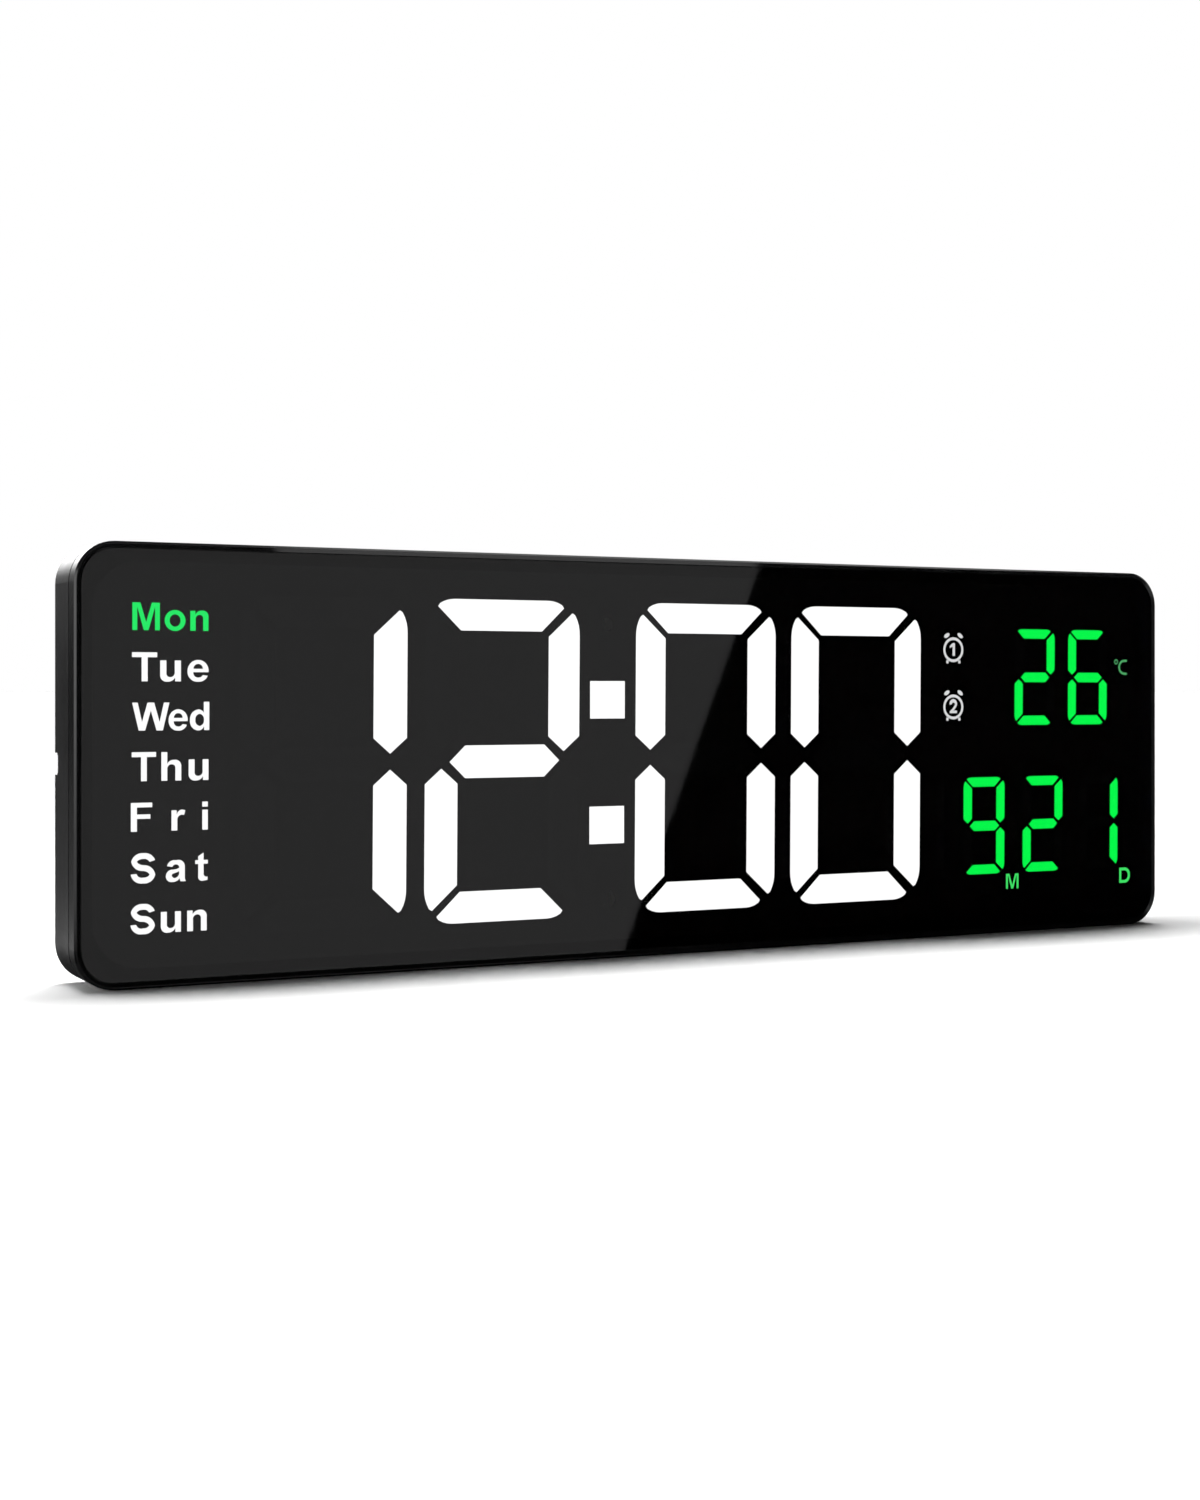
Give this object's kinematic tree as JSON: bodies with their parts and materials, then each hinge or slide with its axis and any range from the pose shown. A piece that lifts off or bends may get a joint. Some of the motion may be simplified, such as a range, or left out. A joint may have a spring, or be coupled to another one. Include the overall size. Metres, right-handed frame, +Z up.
{
  "type": "digital wall clock",
  "caption": "Long slim digital wall clock: smoked pane over lit time, date, weekday and temperature windows, black case with keyholes, supply pocket, setting buttons and fold-out legs.",
  "frame": {"origin": "centre of the case's bottom edge, midway between face and back", "axes": "+X to the right seen from the face, +Y from the face to the back, +Z up"},
  "size_m": [0.406, 0.025, 0.131],
  "materials": {
    "frame_black": "polished black moulding",
    "housing_black": "satin black moulding with a fine spark texture",
    "smoked_pane": "glossy smoked acrylic",
    "tape_black": "black adhesive tape",
    "film_black": "matt black print on film",
    "reflector_white": "matt white moulding",
    "white_light": "lit white diffuser",
    "mark_light": "dimly lit white diffuser",
    "green_light": "lit green diffuser",
    "green_mark_light": "dimly lit green diffuser",
    "unlit_diffuser": "unlit grey diffuser",
    "board_green": "solder mask over fibreglass",
    "lamp_body": "white lamp package",
    "chip_black": "moulded chip package",
    "can_metal": "drawn metal can",
    "sensor_dark": "dark epoxy",
    "sensor_amber": "epoxy bead",
    "steel": "zinc-plated steel",
    "cell_steel": "nickel-plated steel",
    "contact_metal": "sprung contact",
    "jack_black": "black socket body",
    "button_grey": "satin dark grey moulding"
  },
  "bodies": {
    "case": {"active_day_diffuser": "green_light", "alarm_diffusers": "mark_light", "board_screws": "steel", "buzzer": "chip_black", "capacitors": "can_metal", "cell_contact_negative": "contact_metal", "cell_contact_positive": "contact_metal", "coin_cell": "cell_steel", "colon_diffusers": "white_light", "controller_chip": "chip_black", "cover_screws": "steel", "date_diffusers": "green_light", "date_letter_diffusers": "green_mark_light", "dc_jack": "jack_black", "degree_diffuser": "green_mark_light", "display_board": "board_green", "driver_chips": "chip_black", "front_frame": "frame_black", "front_lens": "smoked_pane", "green_leds": "lamp_body", "hour_diffusers": "white_light", "ir_receiver": "sensor_dark", "left_leg_pin": "steel", "lens_tape": "tape_black", "light_sensor": "sensor_amber", "mask_film": "film_black", "minute_diffusers": "white_light", "quartz_crystal": "can_metal", "rear_housing": "housing_black", "reflector": "reflector_white", "right_leg_pin": "steel", "tact_switches": "chip_black", "temperature_diffusers": "green_light", "temperature_sensor": "sensor_amber", "unlit_diffusers": "unlit_diffuser", "voltage_regulator": "chip_black", "weekday_diffusers": "white_light", "white_leds": "lamp_body"},
    "button_set": {"set_button": "button_grey"},
    "button_up": {"up_button": "button_grey"},
    "button_down": {"down_button": "button_grey"},
    "button_alarm": {"alarm_button": "button_grey"},
    "cap": {"battery_cap": "housing_black"},
    "leg_left": {"left_leg": "housing_black"},
    "leg_right": {"right_leg": "housing_black"}
  },
  "joints": [
    {"name": "set_press", "type": "slide", "parent": "case", "child": "button_set", "axis": [0, -1, 0], "range_m": [0, 0.0006], "stiffness_N_per_m": 500},
    {"name": "up_press", "type": "slide", "parent": "case", "child": "button_up", "axis": [0, -1, 0], "range_m": [0, 0.0006], "stiffness_N_per_m": 500},
    {"name": "down_press", "type": "slide", "parent": "case", "child": "button_down", "axis": [0, -1, 0], "range_m": [0, 0.0006], "stiffness_N_per_m": 500},
    {"name": "alarm_press", "type": "slide", "parent": "case", "child": "button_alarm", "axis": [0, -1, 0], "range_m": [0, 0.0006], "stiffness_N_per_m": 500},
    {"name": "cap_turn", "type": "hinge", "parent": "case", "child": "cap", "pos_m": [0.095, 0.0105, 0.06], "axis": [0, 1, 0], "range_deg": [0, 45]},
    {"name": "left_leg_fold", "type": "hinge", "parent": "case", "child": "leg_left", "pos_m": [-0.15, 0.0094, 0.008], "axis": [0, 0, 1], "range_deg": [0, 90]},
    {"name": "right_leg_fold", "type": "hinge", "parent": "case", "child": "leg_right", "pos_m": [0.15, 0.0094, 0.008], "axis": [0, 0, -1], "range_deg": [0, 90]}
  ]
}
